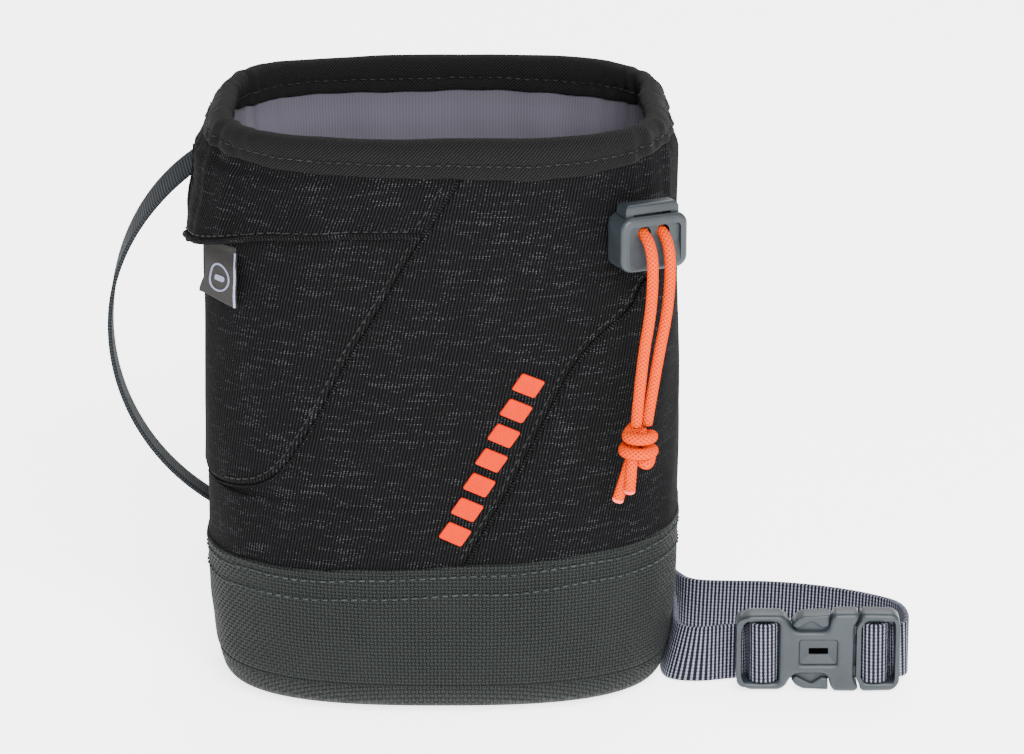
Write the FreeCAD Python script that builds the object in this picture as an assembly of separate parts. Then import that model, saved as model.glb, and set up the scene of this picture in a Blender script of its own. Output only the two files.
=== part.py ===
# Climbing chalk bag with a zipless side pocket, a cord-locked drawcord and a
# webbing waist belt with a side-release buckle.  Millimetres, +Z up, +X to the
# wearer's left, -Y the front.  Origin: centre of the flat underside of the base.
import FreeCAD
import Part
import math
import os

V = FreeCAD.Vector

# ---- driving dimensions ---------------------------------------------------
BAG_HALF_WIDTH = 63.5        # outer fabric, half of the width in X
BAG_HALF_DEPTH = 45.3        # outer fabric, half of the depth in Y
BAG_CORNER_POWER = 2.7       # superellipse exponent of the plan outline
BAG_HEIGHT = 161.3           # floor to top of the bound rim
BASE_ROLL = 9.0              # height of the base panel's rolled edge
BAND_TOP = 44.5              # top edge of the abrasion band at the centre
BAND_SLOPE = 0.05            # rise of that edge towards +X
FABRIC = 1.0
FOAM = 3.3
FLEECE = 1.4
PLY_GAP = 0.1                # air between neighbouring plies
BINDING_BOTTOM = 151.3
WEBBING_WIDTH = 15.0
WEBBING_THICK = 1.5
CORD_DIAMETER = 3.0
CORD_HEIGHT = 136.8          # where the drawcord leaves the wall
LOCK_CENTRE = V(54.2, -40.9, 134.8)
LOCK_TURN = 25.0             # degrees the cord lock faces away from the front
LOCK_HOLE_PITCH = 5.4
BUCKLE_Y = -21.3
BUCKLE_Z = 11.4
BUCKLE_LEFT = 79.9
BUCKLE_SEAM = 33.2           # from the buckle's left end
BUCKLE_RIGHT = 44.5
BUCKLE_HALF_HEIGHT = 11.2
BUCKLE_HALF_THICK = 3.4
LOOP_TAPE_WIDTH = 8.0
LOOP_TAPE_THICK = 1.2

# height, half width, half depth of the outer fabric near the base
BASE_SECTIONS = [
    (0.0, 55.0, 32.0),
    (1.5, 57.4, 35.6),
    (3.0, 58.8, 38.2),
    (6.0, 60.3, 41.0),
    (9.0, 61.2, 42.5),
    (13.0, 62.1, 43.7),
    (17.0, 62.7, 44.5),
    (23.0, 63.3, 45.0),
    (30.0, 63.5, 45.3),
]


# ---- helpers --------------------------------------------------------------
def outline_point(half_x, half_y, angle, shift=0.0):
    """Point of the superellipse plan outline at a parameter angle."""
    c = math.cos(angle)
    s = math.sin(angle)
    power = 2.0 / BAG_CORNER_POWER
    x = math.copysign(half_x * abs(c) ** power, c)
    y = math.copysign(half_y * abs(s) ** power, s)
    return x + shift, y


def outline(half_x, half_y, z, shift=0.0, count=40):
    """Closed smooth plan outline at one height."""
    points = []
    for i in range(count):
        angle = 2.0 * math.pi * (i + 0.5) / count
        x, y = outline_point(half_x, half_y, angle, shift)
        points.append(V(x, y, z))
    curve = Part.BSplineCurve()
    curve.interpolate(Points=points, PeriodicFlag=True)
    return Part.Wire([curve.toShape()])


def half_sizes(z):
    """Half width and half depth of the outer fabric at height z."""
    if z >= BASE_SECTIONS[-1][0]:
        return BAG_HALF_WIDTH, BAG_HALF_DEPTH
    for low, high in zip(BASE_SECTIONS, BASE_SECTIONS[1:]):
        if low[0] <= z <= high[0]:
            t = (z - low[0]) / (high[0] - low[0])
            return low[1] + t * (high[1] - low[1]), low[2] + t * (high[2] - low[2])
    return BASE_SECTIONS[0][1], BASE_SECTIONS[0][2]


def bag_solid(offset, z0, z1):
    """Solid of the bag's outer form moved outwards by offset."""
    heights = [z0]
    heights += [s[0] for s in BASE_SECTIONS if z0 < s[0] < z1]
    heights.append(z1)
    wires = []
    for z in heights:
        a, b = half_sizes(z)
        wires.append(outline(a + offset, b + offset, z))
    return Part.makeLoft(wires, True, True)


def ply(outer, inner, z0, z1):
    """One ply of the wall between two offsets from the outer fabric."""
    return bag_solid(outer, z0, z1).cut(bag_solid(inner, z0 - 0.01, z1 + 0.01))


def box(x0, x1, y0, y1, z0, z1):
    return Part.makeBox(x1 - x0, y1 - y0, z1 - z0, V(x0, y0, z0))


def prism(front_points, y0=-80.0, y1=0.0):
    """Straight prism along Y from an outline given as (x, z) pairs."""
    points = [V(x, y0, z) for x, z in front_points]
    points.append(points[0])
    return Part.Face(Part.makePolygon(points)).extrude(V(0, y1 - y0, 0))


def smooth(points, steps=6):
    """Denser run of (x, z) pairs on a curve through the given ones."""
    curve = Part.BSplineCurve()
    curve.interpolate(Points=[V(x, 0, z) for x, z in points])
    count = steps * (len(points) - 1)
    first, last = curve.FirstParameter, curve.LastParameter
    result = []
    for i in range(count + 1):
        p = curve.value(first + (last - first) * i / count)
        result.append((p.x, p.z))
    return result


def rounded_route(points, name):
    """Wire of straight runs joined by tangent arcs at every corner."""
    edges = []
    radii = []
    start = points[0]
    for before, corner, after in zip(points, points[1:], points[2:]):
        incoming = (corner - before).normalize()
        outgoing = (after - corner).normalize()
        turn = incoming.getAngle(outgoing)
        run = min((corner - before).Length, (after - corner).Length)
        radius = 0.45 * run / math.tan(turn / 2.0)
        reach = 0.45 * run
        radii.append(round(radius, 1))
        enter = corner - incoming * reach
        leave = corner + outgoing * reach
        inward = (outgoing - incoming).normalize()
        depth = radius / math.cos(turn / 2.0) - radius
        middle = corner + inward * depth
        edges.append(Part.LineSegment(start, enter).toShape())
        edges.append(Part.Arc(enter, middle, leave).toShape())
        start = leave
    edges.append(Part.LineSegment(start, points[-1]).toShape())
    print(name, "corner radii", radii)
    return Part.Wire(edges)


def tube(points, diameter, name):
    """Round cord along a rounded route."""
    route = rounded_route(points, name)
    direction = points[1] - points[0]
    section = Part.Wire([Part.makeCircle(diameter / 2.0, points[0], direction)])
    shape = route.makePipeShell([section], True, True)
    print(name, "volume", round(shape.Volume, 1),
          "section x length", round(math.pi * diameter ** 2 / 4 * route.Length, 1))
    return shape


def tape(points, width, thick, name):
    """Flat tape standing on its edge along a rounded route."""
    route = rounded_route(points, name)
    direction = (points[1] - points[0]).normalize()
    side = V(0, 0, 1).cross(direction).normalize() * (thick / 2.0)
    up = V(0, 0, width / 2.0)
    start = points[0]
    corners = [start - side - up, start + side - up, start + side + up, start - side + up]
    section = Part.makePolygon(corners + [corners[0]])
    builder = Part.BRepOffsetAPI.MakePipeShell(route)
    builder.setBiNormalMode(V(0, 0, 1))
    builder.add(section)
    builder.build()
    builder.makeSolid()
    shape = builder.shape()
    print(name, "volume", round(shape.Volume, 1),
          "section x length", round(width * thick * route.Length, 1))
    return shape


def lock_place(shape):
    """Move a shape from the cord lock's own axes to the bag."""
    shape = shape.copy()
    shape.rotate(V(0, 0, 0), V(0, 0, 1), LOCK_TURN)
    shape.translate(LOCK_CENTRE)
    return shape


def lock_point(x, y, z):
    turned = FreeCAD.Rotation(V(0, 0, 1), LOCK_TURN).multVec(V(x, y, z))
    return LOCK_CENTRE + turned


def buckle_prism(points, y0, y1):
    """Plate along Y from (distance from the left end, height above the axis) pairs."""
    placed = [V(BUCKLE_LEFT + x, BUCKLE_Y + y0, BUCKLE_Z + z) for x, z in points]
    placed.append(placed[0])
    return Part.Face(Part.makePolygon(placed)).extrude(V(0, y1 - y0, 0))


def buckle_box(x0, x1, y0, y1, z0, z1):
    return box(BUCKLE_LEFT + x0, BUCKLE_LEFT + x1, BUCKLE_Y + y0, BUCKLE_Y + y1, BUCKLE_Z + z0, BUCKLE_Z + z1)


def softened(shape, radius, chooser):
    """Shape with the chosen edges rounded."""
    edges = [edge for edge in shape.Edges if chooser(edge)]
    return shape.makeFillet(radius, edges)


parts = {}

# ---- plies of the wall ----------------------------------------------------
fabric_top = 159.8
foam_inner = -FABRIC - PLY_GAP - FOAM
fleece_outer = foam_inner - PLY_GAP
fleece_inner = fleece_outer - FLEECE

band_line = [(-90, BAND_TOP - 90 * BAND_SLOPE), (90, BAND_TOP + 90 * BAND_SLOPE)]
above_band = prism(band_line + [(90, 200), (-90, 200)], -80, 80)
below_band = prism(band_line + [(90, -20), (-90, -20)], -80, 80)
above_band_gap = above_band.copy()
above_band_gap.translate(V(0, 0, 0.1))

wall = ply(0.0, -FABRIC, 30.0, fabric_top).common(above_band_gap)

pocket_seam = smooth([
    (-1.5, 139.4), (-8.3, 128.2), (-15.7, 115.0), (-24.3, 100.4), (-29.7, 89.3),
    (-35.1, 79.1), (-40.3, 71.1), (-44.6, 66.6), (-50.6, 63.4), (-57.0, 61.8),
    (-70.0, 59.5),
])
pocket_zone = prism(pocket_seam + [(-90, 59.5), (-90, 139.4)])
backing_zone = prism(pocket_seam + [(-90, 59.5), (-90, 165), (6.0, 165), (6.0, 150.7)])

corner_seam = smooth([
    (70.0, 130.0), (53.6, 120.4), (49.6, 113.6), (40.2, 106.0), (34.2, 98.1),
    (30.0, 90.1), (26.6, 83.1), (23.2, 76.0), (19.7, 68.6), (16.3, 62.3),
    (9.9, 51.1), (5.0, 41.5),
])
corner_zone = prism(corner_seam + [(5.0, 20), (90, 20), (90, 128)])

front_half = box(-90, 90, -80, -0.05, -10, 200)
rear_half = box(-90, 90, 0.05, 80, -10, 200)
front_wall = wall.common(front_half)

parts["pocket_backing_panel"] = front_wall.common(backing_zone)
parts["lower_corner_panel"] = front_wall.common(corner_zone)
parts["front_panel"] = front_wall.cut(backing_zone).cut(corner_zone)
parts["rear_panel"] = wall.common(rear_half)

pocket_ply = ply(PLY_GAP + 0.9, PLY_GAP, 50.0, 136.0)
parts["pocket_front"] = pocket_ply.common(pocket_zone)

band = ply(0.15, -FABRIC, BASE_ROLL + 0.1, 50.0)
parts["base_band"] = band.common(below_band)

dish = bag_solid(0.0, 0.0, BASE_ROLL)
dish_inner = bag_solid(-FABRIC, 0.9, BASE_ROLL + 0.01)
parts["base_panel"] = dish.cut(dish_inner)

pad_outer = bag_solid(-FABRIC - PLY_GAP, 1.0, 4.4)
parts["base_foam"] = pad_outer
parts["wall_foam_lower"] = ply(-FABRIC - PLY_GAP, foam_inner, 4.5, 134.7)
parts["wall_foam_upper"] = ply(-FABRIC - PLY_GAP, foam_inner, 138.9, 150.0)
parts["rim_stiffener"] = ply(-FABRIC - PLY_GAP, foam_inner, 150.2, fabric_top)
lining = bag_solid(fleece_outer, 4.5, fabric_top)
parts["fleece_lining"] = lining.cut(bag_solid(fleece_inner, 4.5 + FLEECE, fabric_top + 0.01))

binding_out = 1.3
binding_in = fleece_inner - PLY_GAP - FABRIC
binding = ply(binding_out, binding_in, BINDING_BOTTOM, BAG_HEIGHT)
binding = softened(binding, 3.0, lambda edge: edge.BoundBox.ZMin > BAG_HEIGHT - 0.01)
binding_core = ply(PLY_GAP, fleece_inner - PLY_GAP, BINDING_BOTTOM - 1, fabric_top + PLY_GAP)
parts["rim_binding"] = binding.cut(binding_core)

# ---- pocket flap and label ------------------------------------------------
# height, growth in X, growth in Y and shift in X of the flap's inner face
flap_sections = [(151.0, 0.6, 0.6, 0.0), (140.0, 2.1, 1.7, -0.5), (121.5, 4.1, 2.6, -1.4)]


def flap_solid(extra):
    wires = []
    for z, grow_x, grow_y, shift in flap_sections:
        wires.append(outline(BAG_HALF_WIDTH + grow_x + extra,
                             BAG_HALF_DEPTH + grow_y + extra, z, shift))
    return Part.makeLoft(wires, True, True)


flap_hem = smooth([(-2.3, 135.3), (-25.7, 134.6), (-46.9, 132.3), (-61.7, 126.8), (-80, 122.0)])
flap_zone = prism(flap_hem + [(-90, 122.0), (-90, 160), (6.5, 160), (6.0, 150.7)], -80, 3.0)
parts["pocket_flap"] = flap_solid(1.2).cut(flap_solid(0.0)).common(flap_zone)

label = box(-6.1, 6.1, -0.25, 0.25, -14.6, 0.0)
label = softened(label, 0.6, lambda edge: abs(edge.tangentAt(edge.FirstParameter).y) > 0.9)
label.rotate(V(0, 0, 0), V(1, 0, 0), -7.0)
label.rotate(V(0, 0, 0), V(0, 0, 1), -46.0)
label.translate(V(-59.36, -27.68, 128.0))
parts["side_label"] = label

# ---- raised print: seven slanted bars in a rising row ----------------------
print_ply = ply(0.45, 0.0, 40.0, 105.0).common(box(-10, 40, -80, 0, 40, 105))
first_bar = V(3.84, 0, 54.0)  # middle of the lowest bar
bar_step = V(0.423, 0, 0.906)
bar_side = V(0.906, 0, -0.423)
bars = []
for index in range(7):
    corners = []
    for along, across in ((-2.6, -3.7), (2.6, -2.9), (2.6, 3.7), (-2.6, 2.9)):
        point = first_bar + bar_step * (index * 7.55 + along) + bar_side * across
        corners.append((point.x, point.z))
    bars.append(print_ply.common(prism(corners)))
parts["accent_print"] = Part.makeCompound(bars)

# ---- side loop ------------------------------------------------------------
loop_centre = V(-32.0, 8.0, 94.3)
loop_radius = 59.0
axis = V(0, 1, 0)
loop_start = loop_centre - V(0, LOOP_TAPE_WIDTH / 2.0, 0)
loop = Part.makeCylinder(loop_radius, LOOP_TAPE_WIDTH, loop_start, axis)
loop = loop.cut(Part.makeCylinder(loop_radius - LOOP_TAPE_THICK, LOOP_TAPE_WIDTH, loop_start, axis))
parts["side_loop"] = loop.cut(bag_solid(0.1, 30.0, 170.0)).cut(box(-62, 60, 0, 20, 20, 180))

# ---- belt loops on the rear ------------------------------------------------
loop_x = 20.0
for name, x in (("belt_loop_right", -loop_x), ("belt_loop_left", loop_x)):
    strap = box(x - 7, x + 7, 40.0, 50.4, 104.0, 131.0)
    strap = softened(strap, 2.0, lambda edge: edge.BoundBox.YMin > 50.3)
    hollow = box(x - 8, x + 8, 30.0, 49.2, 107.5, 127.5)
    strap = strap.cut(hollow).cut(bag_solid(0.1, 90.0, 140.0))
    parts[name] = strap

# ---- belt ------------------------------------------------------------------
web_y = BAG_HALF_DEPTH + 2.5  # layer of webbing threaded through the loops
next_y = web_y + 1.8          # second layer, folded over the first
half_web = WEBBING_WIDTH / 2.0
floor_z = half_web + 0.2
drop_edge = 45.0             # outer edge of each drop from the rear's middle
fold_left = prism([(drop_edge + 1, 109.0), (drop_edge + 1, 126.0), (drop_edge - 16, 126.0)], 30, 60)
fold_right = prism([(-drop_edge - 1, 109.0), (-drop_edge - 1, 126.0), (16 - drop_edge, 126.0)],
                   30, 60)
waist_run = box(-drop_edge, drop_edge, web_y - 0.75, web_y + 0.75, 110.0, 125.0)
parts["belt_waist_run"] = waist_run.cut(fold_left).cut(fold_right)
drop_right = box(-drop_edge, 15 - drop_edge, next_y - 0.75, next_y + 0.75, 0.2, 125.0)
parts["belt_drop_right"] = drop_right.cut(fold_right)
drop_left = box(drop_edge - 15, drop_edge, next_y - 0.75, next_y + 0.75, 0.2, 125.0)
parts["belt_drop_left"] = drop_left.cut(fold_left)

hank_near_y = web_y + 5.6     # folded hank standing on edge behind the bag
hank_depth = 26.0
hank = box(-46.0, 40.0, hank_near_y, hank_near_y + hank_depth, 0.2, 0.2 + WEBBING_WIDTH)
hank = softened(hank, 3.0, lambda edge: abs(edge.tangentAt(edge.FirstParameter).z) > 0.9)
parts["belt_hank"] = hank

side_route = [
    V(-30.0, web_y, floor_z), V(8, web_y + 0.3, floor_z), V(38, web_y, floor_z),
    V(56.0, 39.0, floor_z), V(63.8, 22.0, floor_z), V(65.3, 4.0, floor_z),
    V(64.6, -10.0, floor_z + 0.3), V(71.0, -18.6, floor_z + 2.1),
    V(79.3, BUCKLE_Y + 0.6, BUCKLE_Z), V(85.1, BUCKLE_Y + 1.2, BUCKLE_Z),
]
parts["belt_front_run"] = tape(side_route, WEBBING_WIDTH, WEBBING_THICK, "belt_front_run")
rear_route = [
    V(41.0, 73.9, floor_z), V(51.0, 69.0, floor_z), V(57.4, 52.0, floor_z),
    V(61.4, 38.0, floor_z), V(65.0, 27.0, floor_z), V(68.8, 20.2, floor_z),
    V(80.0, 19.3, floor_z), V(91.0, 19.1, floor_z), V(102.0, 16.2, floor_z + 0.2),
    V(112.5, 11.2, floor_z + 0.6), V(120.6, 5.6, floor_z + 1.4),
]
parts["belt_rear_run"] = tape(rear_route, WEBBING_WIDTH, WEBBING_THICK, "belt_rear_run")
fold_route = [
    V(121.0, 5.2, floor_z + 1.5), V(126.2, -2.0, floor_z + 2.2), V(127.0, -11.5, floor_z + 3.0),
    V(126.4, BUCKLE_Y + 1.0, BUCKLE_Z), V(119.9, BUCKLE_Y + 1.2, BUCKLE_Z),
]
parts["belt_male_fold"] = tape(fold_route, WEBBING_WIDTH, WEBBING_THICK, "belt_male_fold")

# ---- buckle ----------------------------------------------------------------
H = BUCKLE_HALF_HEIGHT
T = BUCKLE_HALF_THICK
female_outline = [
    (1.5, -10.2), (0, -8.6), (0, 8.6), (1.5, 10.2), (12.2, 10.2), (14.8, 7.2), (16.4, 6.5),
    (23.4, 6.5), (25.4, 8.8), (26.4, H - 0.8), (27.8, H), (BUCKLE_SEAM - 1.2, H),
    (BUCKLE_SEAM, H - 1.6), (BUCKLE_SEAM, 1.6 - H), (BUCKLE_SEAM - 1.2, -H), (27.8, -H),
    (26.4, 0.8 - H), (25.4, -8.8), (23.4, -6.5), (16.4, -6.5), (14.8, -7.2), (12.2, -10.2),
]
female = buckle_prism(female_outline, -T, T)
female = softened(female, 0.5, lambda edge: abs(edge.tangentAt(edge.FirstParameter).y) < 0.1)
female = female.cut(buckle_box(1.9, 11.5, -9, 9, -8.1, 8.1))
female = female.cut(buckle_box(13.4, 40.0, -2.0, 2.0, -8.6, 8.6))
female = female.cut(buckle_box(17.8, 24.8, -T - 1, -T + 0.6, -3.0, 3.0))
female = female.cut(buckle_box(19.4, 23.8, -T - 1, -1.5, -0.8, 0.8))
bar = buckle_box(5.7, 7.4, -1.2, 1.2, -8.3, 8.3)
parts["buckle_female"] = female.fuse(bar).removeSplitter()

male_left = BUCKLE_SEAM + 0.4
male_outline = [
    (male_left, -9.4), (male_left, 9.4), (male_left + 1.4, 10.9), (BUCKLE_RIGHT - 1.6, 10.9),
    (BUCKLE_RIGHT, 9.2), (BUCKLE_RIGHT, -9.2), (BUCKLE_RIGHT - 1.6, -10.9), (male_left + 1.4, -10.9),
]
male = buckle_prism(male_outline, -T + 0.2, T - 0.2)
male = softened(male, 0.5, lambda edge: abs(edge.tangentAt(edge.FirstParameter).y) < 0.1)
male = male.cut(buckle_box(34.9, 43.1, -9, 9, -8.1, 8.1))
male = male.fuse(buckle_box(38.0, 39.6, -1.2, 1.2, -8.3, 8.3))
guide = buckle_box(18.8, male_left + 0.5, -1.5, 1.5, -1.9, 1.9)
parts["buckle_male"] = male.fuse(guide).removeSplitter()

for name, sign in (("buckle_arm_upper", 1), ("buckle_arm_lower", -1)):
    stem = [(BUCKLE_SEAM - 0.1, 4.4), (BUCKLE_SEAM - 0.1, 7.2), (24.2, 7.6), (24.2, 5.4)]
    pad = [(16.2, 8.9), (18.2, 10.6), (24.0, 10.3), (24.0, 8.9)]
    neck = [(16.2, 5.0), (16.2, 9.4), (24.2, 9.4), (24.2, 5.2)]
    arm = buckle_prism([(x, sign * z) for x, z in stem], -1.6, 1.6)
    arm = arm.fuse(buckle_prism([(x, sign * z) for x, z in neck], -1.6, 1.6))
    arm = arm.fuse(buckle_prism([(x, sign * z) for x, z in pad], -3.0, 3.0))
    parts[name] = arm.removeSplitter()

# ---- cord lock -------------------------------------------------------------
body = box(-9.6, 9.6, -4.7, 4.7, -8.2, 6.6)
body = softened(body, 3.2, lambda edge: abs(edge.tangentAt(edge.FirstParameter).y) > 0.9)
body = softened(body, 1.3, lambda edge: edge.BoundBox.YMax < -4.6 or edge.BoundBox.YMin > 4.6)
body = body.cut(box(-7.9, 7.9, -3.0, 3.0, -6.4, 9.0))
scoop_side = [V(-7.4, -5.0, 4.2), V(-7.4, -3.6, 3.8), V(-7.4, -3.6, -1.2), V(-7.4, -4.8, -6.8),
              V(-7.4, -5.0, -6.8), V(-7.4, -5.0, 4.2)]
scoop = Part.Face(Part.makePolygon(scoop_side)).extrude(V(14.8, 0, 0))
scoop = softened(scoop, 1.2, lambda edge: abs(edge.tangentAt(edge.FirstParameter).y) > 0.9)
body = body.cut(scoop)
plunger = box(-7.6, 7.6, -2.7, 2.7, -1.2, 9.4)
plunger = softened(plunger, 1.5, lambda edge: edge.BoundBox.ZMin > 9.3)
plunger = plunger.cut(box(-5.4, 5.4, -4, 4, 0.1, 7.0))
cord_z = CORD_HEIGHT - LOCK_CENTRE.z
hole_radius = CORD_DIAMETER / 2.0 + 0.35
for side in (-0.5, 0.5):
    x = side * LOCK_HOLE_PITCH
    body = body.cut(Part.makeCylinder(hole_radius, 12, V(x, -6, cord_z), V(0, 1, 0)))
parts["cord_lock_body"] = lock_place(body)
parts["cord_lock_button"] = lock_place(plunger)
spring = Part.makeCylinder(2.55, 4.6, V(0, 0, -6.1))
spring = spring.cut(Part.makeCylinder(2.05, 4.8, V(0, 0, -6.2)))
parts["cord_lock_spring"] = lock_place(spring)

# ---- drawcord --------------------------------------------------------------
ring_a = BAG_HALF_WIDTH - FABRIC - PLY_GAP - FOAM / 2.0
ring_b = BAG_HALF_DEPTH - FABRIC - PLY_GAP - FOAM / 2.0
ring_path = outline(ring_a, ring_b, CORD_HEIGHT)
ring_start = ring_path.Edges[0].valueAt(ring_path.Edges[0].FirstParameter)
ring_way = ring_path.Edges[0].tangentAt(ring_path.Edges[0].FirstParameter)
ring_section = Part.Wire([Part.makeCircle(CORD_DIAMETER / 2.0, ring_start, ring_way)])
ring = ring_path.makePipeShell([ring_section], True, False)
ring_gap = box(43.5, 56.5, -60, -20, 130, 142)
parts["drawcord_hem_loop"] = ring.cut(ring_gap)

feeds = {}
for name, side in (("drawcord_feed_right", -0.5), ("drawcord_feed_left", 0.5)):
    x = side * LOCK_HOLE_PITCH
    start = lock_point(x, 11.2 if side < 0 else 9.2, cord_z)
    direction = lock_point(x, 0, cord_z) - lock_point(x, 1, cord_z)
    length = 11.0 if side < 0 else 9.0
    feed = Part.makeCylinder(CORD_DIAMETER / 2.0, length, start, direction)
    parts[name] = feed
    passage = Part.makeCylinder(CORD_DIAMETER / 2.0 + 0.1, 20, lock_point(x, 15, cord_z), direction)
    feeds[name] = passage
eyelet = box(-6.4, 6.4, 4.0, 14.0, cord_z - 3.0, cord_z + 3.0)
eyelet = softened(eyelet, 2.0, lambda edge: abs(edge.tangentAt(edge.FirstParameter).y) > 0.9)
eyelet = lock_place(eyelet).common(ply(1.0, 0.1, 125.0, 145.0))
for passage in feeds.values():
    eyelet = eyelet.cut(passage)
    parts["front_panel"] = parts["front_panel"].cut(passage)
parts["drawcord_eyelet"] = eyelet

knot_centre = V(52.0, -50.8, 81.2)
strand_ends = {}
for name, side in (("drawcord_strand_right", -0.5), ("drawcord_strand_left", 0.5)):
    x = side * LOCK_HOLE_PITCH
    reach = 8.4 if side < 0 else 7.6
    route = [
        lock_point(x, -0.1, cord_z), lock_point(x, -reach, cord_z),
        lock_point(x, -reach, cord_z) + V(0.2, -0.4, -17.0),
        knot_centre + V(2.7 + side * 4.0, side * 0.8, 22.0),
        knot_centre + V(0.8 + side * 2.8, side * 1.6, 4.9),
    ]
    parts[name] = tube(route, CORD_DIAMETER, name)
wraps = []
for z, tilt in ((2.4, 0.0), (-1.2, 8.0)):
    wrap = Part.makeTorus(3.2, 1.75, V(0, 0, 0), V(0, 0, 1))
    wrap = wrap.fuse(Part.makeCylinder(3.6, 2.6, V(0, 0, -1.3)))
    wrap.rotate(V(0, 0, 0), V(0, 1, 0), tilt)
    wrap.translate(knot_centre + V(0, 0, z))
    wraps.append(wrap)
knot = wraps[0].fuse(wraps[1])
for x, y, length, lean in ((-0.8, -1.2, 12.5, -0.6), (-2.6, 1.4, 15.5, -2.4)):
    start = knot_centre + V(x, y, -1.5)
    knot = knot.fuse(Part.makeCylinder(1.5, length, start, V(lean / 10.0, 0, -1)))
parts["drawcord_knot"] = knot.removeSplitter()

# ---- write -----------------------------------------------------------------
os.makedirs("parts", exist_ok=True)
for name, shape in parts.items():
    shape.exportStep("parts/" + name + ".step")
    bounds = shape.BoundBox
    print(name, "solids", len(shape.Solids), "valid", shape.isValid(),
          "volume", round(shape.Volume, 1),
          "x", round(bounds.XMin, 1), round(bounds.XMax, 1),
          "y", round(bounds.YMin, 1), round(bounds.YMax, 1),
          "z", round(bounds.ZMin, 1), round(bounds.ZMax, 1))
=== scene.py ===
# Looks of the chalk bag: cloth, webbing, cords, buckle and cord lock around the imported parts.
# Shapes are worked out in millimetres in the row frame and turned into metres in mesh().
import math

import bpy
import numpy as np
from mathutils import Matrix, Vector


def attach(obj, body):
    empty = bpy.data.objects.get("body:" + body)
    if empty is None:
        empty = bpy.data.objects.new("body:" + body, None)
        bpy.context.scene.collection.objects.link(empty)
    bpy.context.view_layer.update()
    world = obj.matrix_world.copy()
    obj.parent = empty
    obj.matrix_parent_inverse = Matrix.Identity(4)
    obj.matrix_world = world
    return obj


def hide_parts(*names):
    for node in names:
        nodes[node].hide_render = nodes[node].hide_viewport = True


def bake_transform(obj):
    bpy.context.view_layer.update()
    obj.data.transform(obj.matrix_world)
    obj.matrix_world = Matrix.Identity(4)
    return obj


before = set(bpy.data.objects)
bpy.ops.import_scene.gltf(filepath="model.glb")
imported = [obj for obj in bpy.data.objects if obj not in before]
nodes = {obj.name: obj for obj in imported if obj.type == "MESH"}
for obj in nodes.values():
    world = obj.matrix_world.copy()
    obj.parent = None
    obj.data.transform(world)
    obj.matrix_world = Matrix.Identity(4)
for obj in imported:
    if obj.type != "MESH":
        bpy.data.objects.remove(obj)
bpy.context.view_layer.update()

# ---- sizes shared with the parts, mm ----
HALF_W, HALF_D, POWER, TOP = 63.5, 45.3, 2.7, 161.3
# the bag's height and half sizes there; then seams as x and height on the front
SECTIONS = np.array([
    (0.0, 57.0, 34.0), (1.5, 59.0, 37.6), (3.0, 60.1, 40.0), (6.0, 61.2, 42.2), (9.0, 61.9, 43.3),
    (13.0, 62.4, 44.0), (17.0, 62.7, 44.5), (23.0, 63.3, 45.0), (30.0, HALF_W, HALF_D),
    (200.0, HALF_W, HALF_D)])
POCKET_SEAM = np.array([
    (-70.0, 59.5), (-57.0, 61.8), (-50.6, 63.4), (-44.6, 66.6), (-40.3, 71.1), (-35.1, 79.1),
    (-29.7, 89.3), (-24.3, 100.4), (-15.7, 115.0), (-8.3, 128.2), (-1.5, 139.4), (6.0, 150.7),
    (12.0, 161.0)])
CORNER_SEAM = np.array([
    (3.6, 39.0), (9.9, 51.1), (16.3, 62.3), (19.7, 68.6), (23.2, 76.0), (26.6, 83.1), (30.0, 90.1),
    (34.2, 98.1), (40.2, 106.0), (49.6, 113.6), (53.6, 120.4), (70.0, 130.0), (72.0, 165.0)])
FLAP_HEM = np.array([(-90.0, 122.0), (-68.0, 124.6), (-61.7, 126.8), (-46.9, 132.3), (-25.7, 134.6),
                     (-2.3, 135.3), (10.0, 135.6)])
WEB_Y, NEXT_Y = 47.8, 49.6           # the belt's two planes behind the bag
FLOOR_Z = 7.7                        # middle height of the tape that stands on the floor
BUCKLE = np.array((79.9, -21.3, 11.4))
LOCK = np.array((54.2, -40.9, 134.8))
LOCK_TURN = math.radians(25.0)
CORD_Z, CORD_RADIUS = 2.0, 1.5       # height of the cords in the lock, and their radius
TAPE_HALF, TAPE_THICK = 7.5, 1.3
PLY = 0.8                            # thickness of one layer of body cloth
PANEL_LOW, PANEL_TOP = 39.0, 159.5   # ends of the panels under the base band and the rim tape
BAND_LOW, BAND_TOP = 9.4, 44.5
LINING_TOP, LINING_LOW, LINING_FLOOR = 158.0, 6.6, 5.95
RIM_LOW = 151.2                      # lower edge of the rim tape where it isn't pulled up or down


# ---- small helpers ----
def hermite(xs, ys, x):
    """Smooth curve through points with rising xs."""
    slopes = np.gradient(ys, xs)
    i = np.clip(np.searchsorted(xs, x) - 1, 0, len(xs) - 2)
    h = xs[i + 1] - xs[i]
    t = np.clip((x - xs[i]) / h, 0, 1)
    return (ys[i] * (2 * t**3 - 3 * t**2 + 1) + slopes[i] * h * (t**3 - 2 * t**2 + t)
            + ys[i + 1] * (3 * t**2 - 2 * t**3) + slopes[i + 1] * h * (t**3 - t**2))


def ease(x, low, high):
    """Smooth step from 0 at low to 1 at high."""
    t = np.clip((np.asarray(x, float) - low) / (high - low), 0, 1)
    return t * t * (3 - 2 * t)


def superellipse(t, a, b):
    """Point of the outline with half sizes a and b at the angle t."""
    c, n = np.cos(t), np.sin(t)
    return (a * np.sign(c) * np.abs(c) ** (2 / POWER), b * np.sign(n) * np.abs(n) ** (2 / POWER))


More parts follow.
